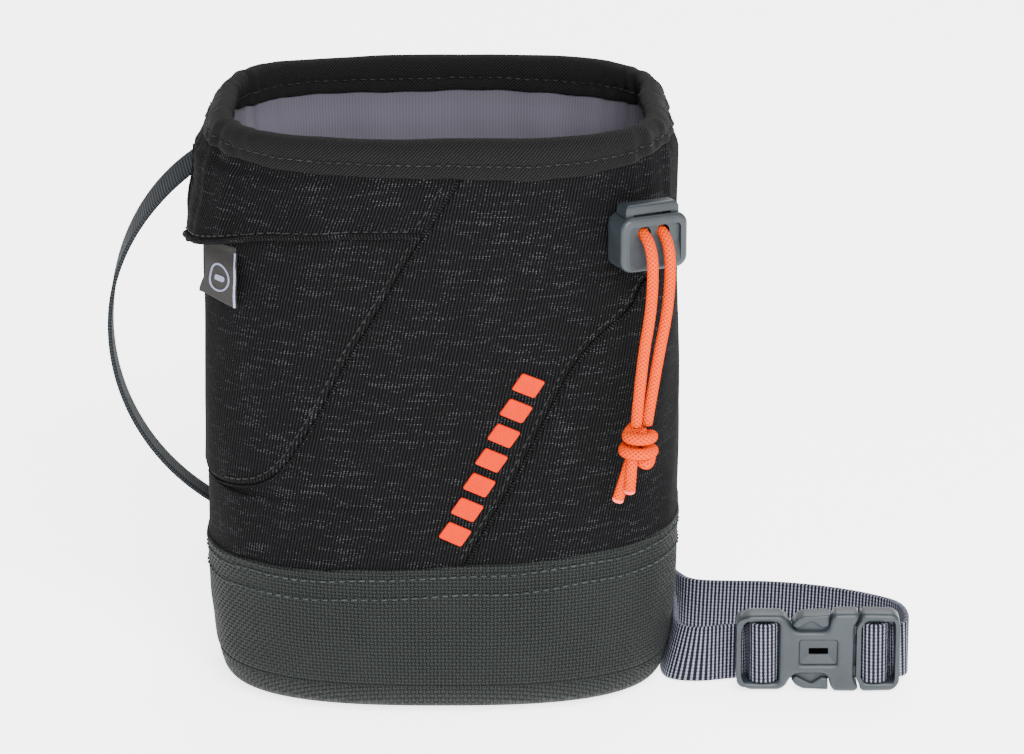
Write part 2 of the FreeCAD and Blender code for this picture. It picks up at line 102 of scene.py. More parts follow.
_t = np.linspace(-math.pi / 2, 1.5 * math.pi, 24001)
_x, _y = superellipse(_t, HALF_W, HALF_D)
_s = np.concatenate([[0], np.cumsum(np.hypot(np.diff(_x), np.diff(_y)))])
ROUND = _s[-1]                       # length of the outline; s = 0 is the front's middle
SIDE = ROUND / 4                     # the side seam at +X; the one at -X is at -SIDE


def s_of_x(x):
    """Place along the front outline of a point at x."""
    c = (np.minimum(np.abs(x), HALF_W) / HALF_W) ** (POWER / 2)
    t = np.where(np.asarray(x) >= 0, -np.arccos(c), -np.pi + np.arccos(c))
    s = np.interp(np.where(t < -np.pi / 2, t + 2 * np.pi, t), _t, _s)
    return np.where(s > ROUND / 2, s - ROUND, s)


def x_of_s(s):
    return superellipse(np.interp(np.mod(s, ROUND), _s, _t), HALF_W, HALF_D)[0]


def ripple(waves, s, phase=0.0):
    """Sine with that many half waves round the outline."""
    return np.sin(waves * np.pi * s / ROUND + phase)


def wobble(s, z):
    """Soft unevenness of the cloth, puckers below the rim's corners, and the rim's narrower ends."""
    a = 2 * np.pi * s / ROUND
    x = x_of_s(s)
    soft = (0.34 * np.sin(3 * a + 1.3 + 0.030 * z) + 0.26 * np.sin(7 * a + 0.5 - 0.050 * z)
            + 0.16 * np.sin(12 * a + 2.0 + 0.090 * z) + 0.10 * np.sin(23 * a - 0.13 * z))
    corner = np.exp(-((np.abs(x) - 56.0) / 8.0) ** 2)
    pleat = np.sin(43 * a + 0.05 * z) + 0.6 * np.sin(70 * a + 1.0)
    y = HALF_D * np.maximum(1 - (np.abs(x) / HALF_W) ** POWER, 0) ** (1 / POWER)
    end = 1 - ease(y, 4, 41)
    drawn_in = np.exp(-12 * (1 + np.sin(a))) * ease(z, 50, 105) * (1 - ease(z, 138, 152))
    drawn_in = drawn_in * (1 - ease(-np.cos(a), 0.0, 0.2) * ease(z, 122, 134))
    right = np.exp(-12 * (1 - np.sin(a))) * ease(z, 20, 60)
    return (soft * ease(z, 0, 25) + 0.34 * corner * pleat * ease(z, 112, 152) - 2.1 * drawn_in
            - 0.6 * right - 4.6 * end * ease(z, 149, 162))


def surface(s, z, off=0.0):
    """Points at place s along the outline and height z, moved outwards by off."""
    s, z = np.broadcast_arrays(np.asarray(s, float), np.asarray(z, float))
    t = np.interp(np.mod(s, ROUND), _s, _t)
    a, b = (hermite(SECTIONS[:, 0], SECTIONS[:, k], z) for k in (1, 2))
    x, y = superellipse(t, a, b)
    c, n = np.cos(t), np.sin(t)
    nx = np.sign(c) * np.abs(c) ** (2 - 2 / POWER) / a
    ny = np.sign(n) * np.abs(n) ** (2 - 2 / POWER) / b
    length = np.hypot(nx, ny)
    d = off + wobble(s, z)
    return np.stack([x + nx / length * d, y + ny / length * d, z], axis=-1)


def show(name, data):
    """Object with that data, in the scene."""
    obj = bpy.data.objects.new(name, data)
    bpy.context.scene.collection.objects.link(obj)
    return obj


def mesh(name, verts, faces, uvs, material, smooth=True):
    """Mesh object from points in mm; uvs, one per point, are kept in the map named weave."""
    data = bpy.data.meshes.new(name)
    data.from_pydata((np.asarray(verts, float) * 0.001).tolist(), [], faces)
    if uvs is not None:
        layer = data.uv_layers.new(name="weave")
        loops = np.zeros(len(data.loops), int)
        data.loops.foreach_get("vertex_index", loops)
        layer.data.foreach_set("uv", (np.asarray(uvs, float)[loops] * 0.001).ravel())
    data.polygons.foreach_set("use_smooth", [smooth] * len(data.polygons))
    data.materials.append(material)
    return show(name, data)


def evaluated(obj):
    """Mesh of obj with its modifiers, or of a curve."""
    graph = bpy.context.evaluated_depsgraph_get()
    return bpy.data.meshes.new_from_object(obj.evaluated_get(graph))


def quads(rows, cols):
    """Faces between the points of a rows x columns grid."""
    return [(r * cols + c, r * cols + c + 1, (r + 1) * cols + c + 1, (r + 1) * cols + c)
            for r in range(rows - 1) for c in range(cols - 1)]


def grid(name, points, uv, material, thick=0.0, side=-1.0):
    """Cloth from a rows x columns array of points."""
    uvs = np.stack(uv, axis=-1).reshape(-1, 2)
    obj = mesh(name, points.reshape(-1, 3), quads(*points.shape[:2]), uvs, material)
    if thick:
        solid = obj.modifiers.new("thickness", "SOLIDIFY")
        solid.thickness = thick * 0.001
        solid.offset = side
        data = evaluated(obj)
        obj.modifiers.clear()
        obj.data = data
    return obj


def place(obj, body, slot, *replaced):
    """Puts obj on a body, and hides the parts it stands for; the material slot is not used."""
    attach(obj, body)
    if replaced:
        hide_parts(*replaced)
    return obj


def route(points, detail=10):
    """Points of the smooth curve that rounds the corners of a route."""
    curve = bpy.data.curves.new("route", "CURVE")
    curve.dimensions = "3D"
    spline = curve.splines.new("NURBS")
    spline.points.add(len(points) - 1)
    for p, q in zip(spline.points, points):
        p.co = (*[v * 0.001 for v in q], 1)
    spline.order_u = 3
    spline.use_endpoint_u = True
    curve.resolution_u = detail
    obj = show("route", curve)
    line = evaluated(obj)
    found = np.array([v.co for v in line.vertices]) * 1000
    bpy.data.objects.remove(obj)
    bpy.data.meshes.remove(line)
    return found


def lengths(points):
    """Distance along a line of points, at each point."""
    return np.concatenate([[0], np.cumsum(np.linalg.norm(np.diff(points, axis=0), axis=1))])


def tube(name, points, radius, material, sides=14, cap=True):
    """Round cord along points, with its ends closed."""
    points = np.asarray(points, float)
    along = lengths(points)
    tangents = np.gradient(points, axis=0)
    tangents /= np.linalg.norm(tangents, axis=1)[:, None]
    normal = np.cross(tangents[0], (0.31, 0.87, 0.38))
    rings, uvs = [], []
    for i, (p, tangent) in enumerate(zip(points, tangents)):
        normal = normal - tangent * normal.dot(tangent)
        normal /= np.linalg.norm(normal)
        other = np.cross(tangent, normal)
        r = radius if np.isscalar(radius) else radius[i]
        for k in range(sides + 1):
            angle = 2 * math.pi * k / sides
            rings.append(p + r * (math.cos(angle) * normal + math.sin(angle) * other))
            uvs.append((along[i], k / sides * 2 * math.pi * r))
    cols = sides + 1
    faces = quads(len(points), cols)
    if cap:
        faces += [tuple(range(sides - 1, -1, -1)),
                  tuple((len(points) - 1) * cols + k for k in range(sides))]
    return mesh(name, rings, faces, uvs, material)


def ribbon(name, left, right, thick, material, across=8, measures=None):
    """Tape between two edge lines, rows x 3 each."""
    left, right = np.asarray(left, float), np.asarray(right, float)
    middle = (left + right) / 2
    v = np.linspace(0, 1, across + 1)
    points = left[:, None, :] * (1 - v)[None, :, None] + right[:, None, :] * v[None, :, None]
    width = np.linalg.norm(left - right, axis=1).min()
    one, two = (lengths(left), lengths(right)) if measures is None else measures
    uv = (one[:, None] * (1 - v)[None, :] + two[:, None] * v[None, :],
          np.repeat((v * width)[None, :], len(left), 0))
    return grid(name, points, uv, material, thick=thick, side=0.0), middle


def stitches(name, points, normals, material, pitch=2.6, length=1.75, radius=0.24, lift=0.1):
    """Row of thread stitches lying on a line."""
    points, normals = np.asarray(points, float), np.asarray(normals, float)
    along = lengths(points)
    count = int(along[-1] / pitch)
    centres = (np.arange(count) + 0.5) * pitch

    def at(rows, distance):
        return np.array([np.interp(distance, along, rows[:, k]) for k in range(3)])

    verts, faces = [], []
    profile = [(-0.5, 0.0, -0.9), (-0.42, 0.75, -0.25), (-0.2, 1.0, 0.1), (0.2, 1.0, 0.1),
               (0.42, 0.75, -0.25), (0.5, 0.0, -0.9)]
    for centre in centres:
        p = at(points, centre)
        chord = at(points, centre + 0.5) - at(points, centre - 0.5)
        tangent = chord / max(np.linalg.norm(chord), 1e-9)
        n = at(normals, centre)
        n -= tangent * n.dot(tangent)
        n /= np.linalg.norm(n)
        w = np.cross(tangent, n)
        base = len(verts)
        for a, r, h in profile:
            for k in range(6):
                angle = math.pi * k / 3
                verts.append(p + tangent * a * length + n * (lift + radius * (h + r * math.sin(angle)))
                             + w * radius * r * math.cos(angle))
        for i in range(len(profile) - 1):
            for k in range(6):
                m = (k + 1) % 6
                faces.append((base + i * 6 + k, base + i * 6 + m,
                              base + i * 6 + 6 + m, base + i * 6 + 6 + k))
    return mesh(name, verts, faces, None, material)


def on_surface(s, z, off):
    """Points on the cloth and the directions away from it."""
    points = surface(s, z, off)
    return points, surface(s, z, off + 1) - points


def rounded(points, radius, steps=5):
    """Polygon with its corners rounded."""
    points = [np.array(p, float) for p in points]
    found = []
    for i, p in enumerate(points):
        before, after = points[i - 1] - p, points[(i + 1) % len(points)] - p
        la, lb = np.linalg.norm(before), np.linalg.norm(after)
        reach = min(radius, 0.45 * la, 0.45 * lb)
        a, b = p + before / la * reach, p + after / lb * reach
        for k in range(steps + 1):
            t = k / steps
            found.append((1 - t) ** 2 * a + 2 * t * (1 - t) * p + t**2 * b)
    return found


def plate(name, outlines, half_thick, bevel, material, to_world):
    """Flat piece from closed outlines (the first is the rim, the others are holes)."""
    curve = bpy.data.curves.new(name, "CURVE")
    curve.dimensions = "2D"
    curve.fill_mode = "BOTH"
    for outline in outlines:
        spline = curve.splines.new("POLY")
        spline.points.add(len(outline) - 1)
        for p, q in zip(spline.points, outline):
            p.co = (q[0], q[1], 0, 1)
        spline.use_cyclic_u = True
    curve.extrude = half_thick - bevel
    curve.bevel_depth = bevel
    curve.bevel_resolution = 3
    curve.offset = -bevel
    obj = show(name, curve)
    data = evaluated(obj)
    verts = to_world(np.array([v.co for v in data.vertices]).reshape(-1, 3))
    faces = [tuple(p.vertices) for p in data.polygons]
    bpy.data.objects.remove(obj)
    made = mesh(name, verts, faces, None, material, smooth=False)
    made.data.polygons.foreach_set("use_smooth", [len(f) == 4 for f in faces])
    return made


# ---- materials ----
LIGHT = 2.4                          # brightness of a white sheet under the studio light


def seen(text):
    """Base colour that the studio light and the tone curve show as a screen colour.

    Three plain numbers are a base colour already."""
    if not isinstance(text, str):
        return [*text, 1.0]
    light = np.geomspace(1e-4, 12, 600)
    x = (np.log2(light) + 12.47393) / 16.5
    shown = (15.5 * x**6 - 40.14 * x**5 + 31.96 * x**4 - 6.868 * x**3 + 0.4298 * x**2 + 0.1191 * x
             - 0.00232)
    values = [int(text[i:i + 2], 16) / 255 for i in (0, 2, 4)]
    return [float(min(0.95, np.interp(v, shown, light) / LIGHT)) for v in values] + [1.0]


class Paint:
    """A material under construction, with short ways to add and join shader nodes."""

    def __init__(self, name, rough, sheen=0.0, specular=0.12):
        self.material = bpy.data.materials.new(name)
        self.material.use_nodes = True
        self.tree = self.material.node_tree
        self.shader = self.tree.nodes["Principled BSDF"]
        self.shader.inputs["Roughness"].default_value = rough
        self.shader.inputs["Specular IOR Level"].default_value = specular
        self.shader.inputs["Sheen Weight"].default_value = sheen * 0.15
        self.shader.inputs["Sheen Roughness"].default_value = 0.5

    def add(self, kind, inputs=None, **settings):
        node = self.tree.nodes.new("ShaderNode" + kind)
        for key, value in settings.items():
            setattr(node, key, value)
        for key, value in (inputs or {}).items():
            if isinstance(value, bpy.types.NodeSocket):
                self.tree.links.new(value, node.inputs[key])
            else:
                node.inputs[key].default_value = value
        return node

    def where(self, mapped=True):
        if mapped:
            return self.add("UVMap", uv_map="weave").outputs[0]
        return self.add("TexCoord").outputs["Object"]

    def maths(self, operation, a, b=0.0):
        return self.add("Math", {0: a, 1: b}, operation=operation).outputs[0]

    def total(self, *terms):
        """Sum of (socket, weight) pairs."""
        found = None
        for socket, weight in terms:
            part = socket if weight == 1 else self.maths("MULTIPLY", socket, weight)
            found = part if found is None else self.maths("ADD", found, part)
        return found

    def turned(self, vector, angle):
        return self.add("Mapping", {"Vector": vector, "Rotation": (0, 0, angle)}).outputs[0]

    def wave(self, vector, direction, pitch, distortion=0.0):
        return self.add("TexWave", {"Vector": vector, "Scale": 0.31416 / (pitch * 0.001),
                                    "Distortion": distortion, "Detail": 0.0},
                        wave_type="BANDS", bands_direction=direction).outputs["Fac"]

    def noise(self, vector, pitch, detail=3.0):
        return self.add("TexNoise", {"Vector": vector, "Scale": 1 / (pitch * 0.001), "Detail": detail,
                                     "Roughness": 0.6}).outputs["Fac"]

    def ramp(self, factor, stops):
        node = self.add("ValToRGB", {"Fac": factor})
        elements = node.color_ramp.elements
        while len(elements) < len(stops):
            elements.new(0.5)
        for element, (position, colour) in zip(elements, stops):
            element.position = position
            element.color = seen(colour)
        return node.outputs["Color"]

    def finish(self, colour, height, depth):
        bump = self.add("Bump", {"Height": height, "Distance": depth * 0.001, "Strength": 1.0})
        self.tree.links.new(bump.outputs[0], self.shader.inputs["Normal"])
        self.tree.links.new(colour, self.shader.inputs["Base Color"])
        return self.material


def basket(name, dark, light, pitch, depth, rough, sheen, fleck=0.35):
    """Plain weave: warp and weft threads go over and under each other."""
    paint = Paint(name, rough, sheen)
    where = paint.where()
    warp = paint.wave(where, "X", pitch, 0.25)
    weft = paint.wave(where, "Y", pitch, 0.25)
    over = paint.add("TexChecker", {"Vector": where, "Scale": 1000 / pitch}).outputs["Fac"]
    height = paint.add("Mix", {"Factor": over, "A": warp, "B": weft}, data_type="FLOAT").outputs[0]
    specks = paint.noise(where, pitch * 0.9)
    patches = paint.noise(where, 22.0)
    mixed = paint.total((height, 0.85 - fleck), (specks, fleck * 1.4), (patches, 0.25))
    return paint.finish(paint.ramp(mixed, [(0.25, dark), (0.85, light)]),
                        paint.total((height, 1), (specks, 0.4)), depth)


def heather(name, dark, middle, light):
    """Dense cloth with steep fine ribs and pale flecks that gather in level streaks."""
    paint = Paint(name, 0.9, 0.0, 0.03)
    where = paint.where()
    level = paint.add("Mapping", {"Vector": where, "Scale": (0.14, 1.0, 1)}).outputs[0]
    rib = paint.wave(paint.turned(where, 0.2), "X", 0.85, 0.9)
    cross = paint.wave(where, "Y", 0.5, 1.2)
    streak = paint.noise(level, 1.3, 2.0)
    fleck = paint.noise(where, 0.5, 3.0)
    patch = paint.noise(where, 24.0, 2.0)
    dots = paint.maths("MULTIPLY", rib, cross)
    chosen = paint.maths("GREATER_THAN", paint.total((fleck, 1), (streak, 1)), 1.12)
    bright = paint.maths("MULTIPLY", paint.maths("MULTIPLY", chosen, dots),
                         paint.maths("MULTIPLY", patch, 0.9))
    mixed = paint.total((rib, 0.34), (dots, 0.14), (bright, 1))
    return paint.finish(paint.ramp(mixed, [(0.0, dark), (0.5, middle), (0.95, light)]),
                        paint.total((rib, 1), (cross, 0.5)), 0.14)


def twill(name, dark, light, pitch, depth, turn, rough, sheen):
    """Tape with slanting ribs crossed by fine threads."""
    paint = Paint(name, rough, sheen)
    where = paint.where()
    rib = paint.wave(paint.turned(where, turn), "X", pitch, 0.4)
    thread = paint.wave(where, "Y", pitch * 0.55, 0.3)
    specks = paint.noise(where, pitch * 0.7)
    height = paint.total((rib, 1), (thread, 0.4))
    mixed = paint.total((height, 0.5), (specks, 0.4))
    return paint.finish(paint.ramp(mixed, [(0.4, dark), (0.95, light)]), height, depth)


def ribbed(name, dark, light, pitch, cross, depth, rough, sheen, low=0.3, beads=0.2):
    """Webbing with ribs and small cross threads."""
    paint = Paint(name, rough, sheen)
    where = paint.where()
    rib = paint.wave(where, "X", pitch)
    thread = paint.wave(where, "Y", cross, 0.5)
    specks = paint.noise(where, cross * 0.8)
    mixed = paint.total((rib, 0.55), (paint.maths("MULTIPLY", thread, rib), beads), (specks, 0.3))
    return paint.finish(paint.ramp(mixed, [(low, dark), (0.9, light)]),
                        paint.total((rib, 1), (thread, 0.35)), depth)


def braid(name, dark, middle, light):
    """Round cord whose strands cross in both slants."""
    paint = Paint(name, 0.75, 0.0, 0.0)
    where = paint.where()
    one, two = (paint.wave(paint.turned(where, slant), "X", 0.85) for slant in (0.7, -0.7))
    height = paint.maths("MAXIMUM", one, two)
    mixed = paint.total((height, 0.7), (paint.noise(where, 0.35), 0.35))
    return paint.finish(paint.ramp(mixed, [(0.2, dark), (0.6, middle), (0.95, light)]), height, 0.22)


def moulded(name, dark, light, rough, grain, specular=0.3):
    """Plain surface with a fine grain."""
    paint = Paint(name, rough, 0.0, specular)
    where = paint.where(False)
    fine = paint.noise(where, grain, 4.0)
    mixed = paint.total((fine, 0.4), (paint.noise(where, 9.0, 2.0), 0.6))
    return paint.finish(paint.ramp(mixed, [(0.3, dark), (0.7, light)]), fine, 0.05)


BODY = heather("body_fabric", "060607", "29292b", "747478")
BAND = basket("band_fabric", "010202", "363d3b", 1.0, 0.42, 0.78, 0.0, 0.2)
RIM = twill("binding_tape", "000000", "303030", 0.7, 0.25, 0.75, 0.85, 0.0)
FLEECE = ribbed("fleece", "6a6772", "74717c", 0.9, 0.6, 0.03, 0.97, 0.3)
LABEL = basket("label_weave", "302e2d", "4c4a47", 0.45, 0.05, 0.8, 0.1)
MARK = basket("label_mark", "8c90a0", "c0c2ce", 0.4, 0.05, 0.8, 0.1)
LOOP = ribbed("loop_tape", "15191d", "535a60", 0.9, 0.7, 0.16, 0.75, 0.1)
BELT = ribbed("belt_webbing", "10121b", "a6a8b4", 1.05, 0.9, 0.25, 0.8, 0.0, 0.45, 0.3)
ORANGE = braid("cord_orange", (0.36, 0.012, 0.0), (0.50, 0.03, 0.0), (0.62, 0.065, 0.0))
CUT = moulded("cord_cut_end", "d87868", "e89a8c", 0.8, 0.3)
PRINT = moulded("print_rubber", (0.38, 0.012, 0.0), (0.46, 0.018, 0.0), 0.6, 0.5, 0.0)
PLASTIC = moulded("moulded_plastic", "2e383f", "434e56", 0.42, 0.22)
LOCK_PLASTIC = moulded("lock_plastic", "2c3439", "424c53", 0.4, 0.22)
THREAD = moulded("thread_dark", "060606", "363637", 0.6, 0.5, 0.15)
THREAD_GREY = moulded("thread_grey", "2c3435", "5a6260", 0.7, 0.3, 0.1)
STEEL = moulded("spring_steel", "8a8a8a", "b0b0b0", 0.3, 0.4)
# near-black sheet behind the buckle's slot: painted shade in the slot, not a part of the buckle
PAINTED_SLOT_SHADE = moulded("slot_shadow", "030303", "0a0a0b", 0.9, 0.4, 0.0)
FOAM = moulded("foam", "2a2a2c", "454548", 0.9, 0.6)
STEEL.node_tree.nodes["Principled BSDF"].inputs["Metallic"].default_value = 1.0

# ---- camera ----
CAMERA_RISE, CAMERA_AWAY = math.radians(18.6), 1.30
target = Vector((0.01894, 0.0, 0.0823))
camera_data = bpy.data.cameras.new("camera")
camera_data.lens = 168.2
camera_data.sensor_width = 36.0
camera = show("camera", camera_data)
camera.location = target + Vector((0, -math.cos(CAMERA_RISE), math.sin(CAMERA_RISE))) * CAMERA_AWAY
camera.rotation_euler = (target - camera.location).to_track_quat("-Z", "Y").to_euler()
bpy.context.scene.camera = camera

# ---- drawcord ----
def lock_point(x, y, z):
    """Point given in the cord lock's own directions."""
    c, n = math.cos(LOCK_TURN), math.sin(LOCK_TURN)
    return LOCK + np.array((x * c - y * n, x * n + y * c, z))


KNOT = np.array((52.0, -50.8, 81.2))
strands = {}
for side, reach, name in ((-1, 8.4, "drawcord_strand_right"), (1, 7.6, "drawcord_strand_left")):
    bend = lock_point(2.7 * side, -reach, CORD_Z)
    line = route([lock_point(2.7 * side, -0.1, CORD_Z), bend, bend + (0.2, -0.4, -17.0),
                  KNOT + (2.7 + 2.0 * side, 0.4 * side, 22.0),
                  KNOT + (0.8 + 1.4 * side, 0.8 * side, 4.9)], 14)
    strands[name] = (tube(name + "_cord", line, CORD_RADIUS, ORANGE, 16), line)
    place(strands[name][0], "cord_lock", "cord_orange", name)


def knot_turn(points, name, radius=1.55):
    """Piece of cord in the knot."""
    made = tube(name, route([KNOT + np.array(p) for p in points], 16), radius, ORANGE, 14)
    return place(made, "cord_lock", "cord_orange")


# the wraps climb down in steps, and stand off a little more at each turn
wrap_points = []
for i in range(1, 19):
    f = -0.35 + i * 0.1
    angle = 2 * math.pi * (f - 0.25)
    level = 1.9 - 3.9 * (math.floor(f) + float(ease(f - math.floor(f), 0.25, 0.75)))
    reach = 3.5 + 0.55 * f
    wrap_points.append((0.25 - 0.35 * f + reach * math.cos(angle), reach * 0.92 * math.sin(angle),
                        level))
wraps = knot_turn([(0.4, 0.6, 5.2), (-1.4, 2.4, 3.6)] + wrap_points + [(0.6, 0.8, -4.4)], "knot_wraps")
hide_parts("drawcord_knot")
lobe = knot_turn([(-0.6, 0.4, 4.4), (-2.0, 1.2, 0.5), (-0.6, -0.4, -3.6), (2.2, -2.6, -5.6),
                  (3.4, -1.2, -3.4), (2.2, 1.0, -1.0), (0.6, 0.6, 3.6)], "knot_lobe", CORD_RADIUS)
tails = []
for name, *points in (
        ("cord_tail_a", (-1.2, -1.0, -1.6), (-1.8, -2.9, -5.0), (-2.0, -3.0, -9.0), (-2.3, -2.6, -12.6)),
        ("cord_tail_b", (-1.2, 0.2, -2.4), (-2.8, -0.8, -7.0), (-4.2, -0.6, -12.0), (-5.3, -0.4, -15.8))):
    line = route([KNOT + np.array(p) for p in points], 14)
    tail = place(tube(name, line, CORD_RADIUS, ORANGE, 16), "cord_lock", "cord_orange")
    tangent = (line[-1] - line[-3]) / np.linalg.norm(line[-1] - line[-3])
    cut = tube(name + "_end", [line[-1] - tangent * 0.6, line[-1] + tangent * 0.15,
                               line[-1] + tangent * 0.4], [1.56, 1.5, 1.2], CUT, 16)
    place(cut, "cord_lock", "cord_orange")
    tails += [tail, cut]

# ---- belt ----
def flat_run(line, lean=0.0):
    """Edge rows of a tape standing on edge along a line; lean moves the low edge."""
    half = TAPE_HALF + 0.25 + 0.6 * ease(-line[:, 1], 18.5, 21.0)
    up = np.stack([0 * half, 0 * half, half], axis=1)
    return list(line + up), list(line - up + lean)


def waist_and_drop(sign):
    """Waist run from the middle, folded down into a drop, at x of that sign."""
    left, right = [], []
    for x in np.linspace(0, 30, 16):
        left.append((sign * x, WEB_Y, 125.0))
        right.append((sign * x, WEB_Y, 110.0))
    for y, inset in ((WEB_Y, 0.5), ((WEB_Y + NEXT_Y) / 2, 0.0), (NEXT_Y, 0.5)):
        left.append((sign * (30 - inset * 0.3), y, 125.0 - inset * 0.6))
        right.append((sign * (45 - inset), y, 110.0 + inset * 0.3))
    for z in np.linspace(109.0, 17.0, 40):
        sway = 0.175 * math.sin(z / 17.0)
        left.append((sign * 30, NEXT_Y + sway, z))
        right.append((sign * 45, NEXT_Y + sway, z))
    return left, right


# the front tape runs round the bag's side and over the buckle's first bar; beside the bag its low
# edge lies closer in than its top edge
front_line = route([(-29.0, WEB_Y, FLOOR_Z), (8, WEB_Y + 0.3, FLOOR_Z), (38, WEB_Y, FLOOR_Z),
                    (55.6, 39.4, FLOOR_Z + 0.1), (63.0, 22.0, FLOOR_Z + 0.1),
                    (64.4, 4.0, FLOOR_Z + 0.1), (63.6, -12.0, FLOOR_Z + 0.1), (68.6, -17.8, 8.2),
                    (76.8, -17.4, 9.0), (82.4, -16.9, 9.3), (84.0, -20.4, 11.2), (84.4, -24.0, 11.4),
                    (87.4, -25.0, 11.4), (90.4, -23.8, 11.4), (91.2, -19.6, 11.2), (92.4, -15.6, 9.6),
                    (80.5, -15.2, 9.4)], 10)
hug = ease(front_line[:, 0], 50, 62) * (1 - ease(front_line[:, 0], 66, 74))
lean = np.zeros_like(front_line)
lean[:, 0] = -3.6 * hug * ease(-np.abs(front_line[:, 1] - 8), -34, -22)
left, right = waist_and_drop(-1)
left += [(-29.7, NEXT_Y, 0.4), (-29.7, (WEB_Y + NEXT_Y) / 2, 0.2), (-29.7, WEB_Y, 0.4)]
right += [(-44.7, NEXT_Y, 15.4), (-45.0, (WEB_Y + NEXT_Y) / 2, 15.2), (-44.7, WEB_Y, 15.2)]
top, upright = flat_run(front_line)
measures = lengths(left + upright), lengths(right + top)
top, low = flat_run(front_line, lean)
left, right = left + low, right + top
belt_one, belt_one_path = ribbon("belt_front_tape", left, right, TAPE_THICK, BELT, measures=measures)
place(belt_one, "bag", "belt_webbing", "belt_drop_right", "belt_front_run", "belt_waist_run")

# the rear tape lies in a hank of passes, then runs round to the buckle's other bar
hank_points = [(28.0, 54.2, FLOOR_Z)]
for index, y in enumerate((55.6, 62.0, 68.2, 74.2)):
    xs = (20, -36) if index % 2 == 0 else (-36, 31)
    hank_points += [(xs[0], y, FLOOR_Z), ((xs[0] + xs[1]) / 2, y + 0.4, FLOOR_Z), (xs[1], y, FLOOR_Z)]
    end = -44.6 if index % 2 == 0 else 38.6
    if index < 3:
        hank_points += [(end, y + 0.4, FLOOR_Z), (end, y + 5.9, FLOOR_Z)]
run_points = [(34.0, 74.4), (41.0, 73.9), (51.0, 69.0), (57.4, 52.0), (61.4, 38.0), (65.0, 27.0),
              (68.8, 20.2), (80.0, 19.3), (91.0, 19.1), (102.0, 16.2, 0.2), (112.5, 11.2, 0.6),
              (120.6, 5.6, 0.9), (125.8, 0.0, 1.3), (127.2, -9.5, 1.9)]
bar_points = [(126.6, -16.6, 9.4), (121.6, -17.0, 9.4), (120.6, -20.4, 11.2), (120.2, -24.0, 11.4),
              (117.4, -25.0, 11.4), (114.6, -23.8, 11.4), (113.6, -19.4, 11.2), (113.0, -15.7, 9.5),
              (123.6, -15.1, 9.5)]
rear_line = route(hank_points[:-1] + [(x, y, FLOOR_Z + sum(rise)) for x, y, *rise in run_points]
                  + bar_points, 10)
left, right = waist_and_drop(1)
left += [(29.7, NEXT_Y, 0.4), (29.7, 51.0, 0.2), (29.7, 52.6, 0.3)]
right += [(44.7, NEXT_Y, 15.4), (45.0, 51.0, 15.2), (44.7, 52.6, 15.2)]
top, low = flat_run(rear_line)
left, right = left + low, right + top
belt_two, belt_two_path = ribbon("belt_rear_tape", left, right, TAPE_THICK, BELT)
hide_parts("belt_drop_left", "belt_hank", "belt_rear_run", "belt_male_fold")

# ---- wall panels ----
def seam_x(seam, z):
    """Where a seam stands at the height z."""
    return hermite(seam[:, 1], seam[:, 0], z)


def fixed(s):
    """Side of a panel that runs straight up at one place along the outline."""
    return lambda z: np.full_like(z, s)


def pocket_edge(z):
    return np.maximum(s_of_x(np.maximum(seam_x(POCKET_SEAM, z), -HALF_W)), -SIDE)


def front_left(z):
    return np.maximum(pocket_edge(z) - 5.0 * (z < 138), -SIDE)


def front_right(z):
    return np.minimum(s_of_x(np.minimum(seam_x(CORNER_SEAM, z), HALF_W)), SIDE)


def panel(name, node, z0, z1, s_left, s_right, off=0.0, rows=90, cols=90, dips=(True, True), puff=0.0):
    """Body cloth whose sides are given as places along the outline at each height.

    The cloth dips into the seam at a side that is told to."""
    z = np.linspace(z0, z1, rows)
    a, b = s_left(z)[:, None], s_right(z)[:, None]
    u = 0.5 - 0.5 * np.cos(np.pi * np.linspace(0, 1, cols))
    s = a * (1 - u) + b * u
    zz = np.repeat(z[:, None], cols, 1)
    depth = np.full_like(s, off)
    for dip, reach in zip(dips, (s - a, b - s)):
        if dip:
            depth -= (off + 0.45) * (1 - ease(reach, 0, 1.6))
    depth += puff * ease(s - a, 0, 14) * ease(b - s, 0, 14)
    place(grid(name, surface(s, zz, depth), (s, zz), BODY, PLY), "bag", "body_fabric", node)


panel("cloth_front", "front_panel", PANEL_LOW, PANEL_TOP, front_left, front_right, cols=110, rows=120,
      dips=(False, True))
panel("cloth_corner", "lower_corner_panel", PANEL_LOW, 129.6, front_right, fixed(SIDE), cols=60,
      puff=0.3)
panel("cloth_rear", "rear_panel", PANEL_LOW, PANEL_TOP, fixed(SIDE), fixed(ROUND - SIDE), cols=170)
panel("cloth_behind_pocket", "pocket_backing_panel", 60, PANEL_TOP, fixed(-SIDE), pocket_edge,
      off=-0.25, cols=60, dips=(False, False))

# pocket, by columns from the side seam to its slanted seam
s_pocket = np.linspace(-SIDE, s_of_x(-4.2), 100)
order = np.argsort(POCKET_SEAM[:, 0])
z_low = hermite(POCKET_SEAM[order, 0], POCKET_SEAM[order, 1], x_of_s(s_pocket))
v = np.linspace(0, 1, 80)[:, None]
zz = z_low * (1 - v) + 136.0 * v
ss = np.repeat(s_pocket[None, :], 80, 0)
edge = np.minimum(zz - z_low, s_of_x(np.minimum(seam_x(POCKET_SEAM, zz), -3.0)) - ss)
depth = 1.0 - 1.2 * (1 - ease(edge, 0, 1.8)) + 0.5 * ease(edge, 2, 22) * (1 - ease(zz, 112, 134))
place(grid("cloth_pocket", surface(ss, zz, depth), (ss, zz), BODY, PLY),
      "bag", "body_fabric", "pocket_front")

# base band with a folded top edge, and the base panel below it
def band_top(s):
    """Height of the band's upper edge."""
    return BAND_TOP + 0.05 * x_of_s(s) + 0.25 * ripple(24, s)


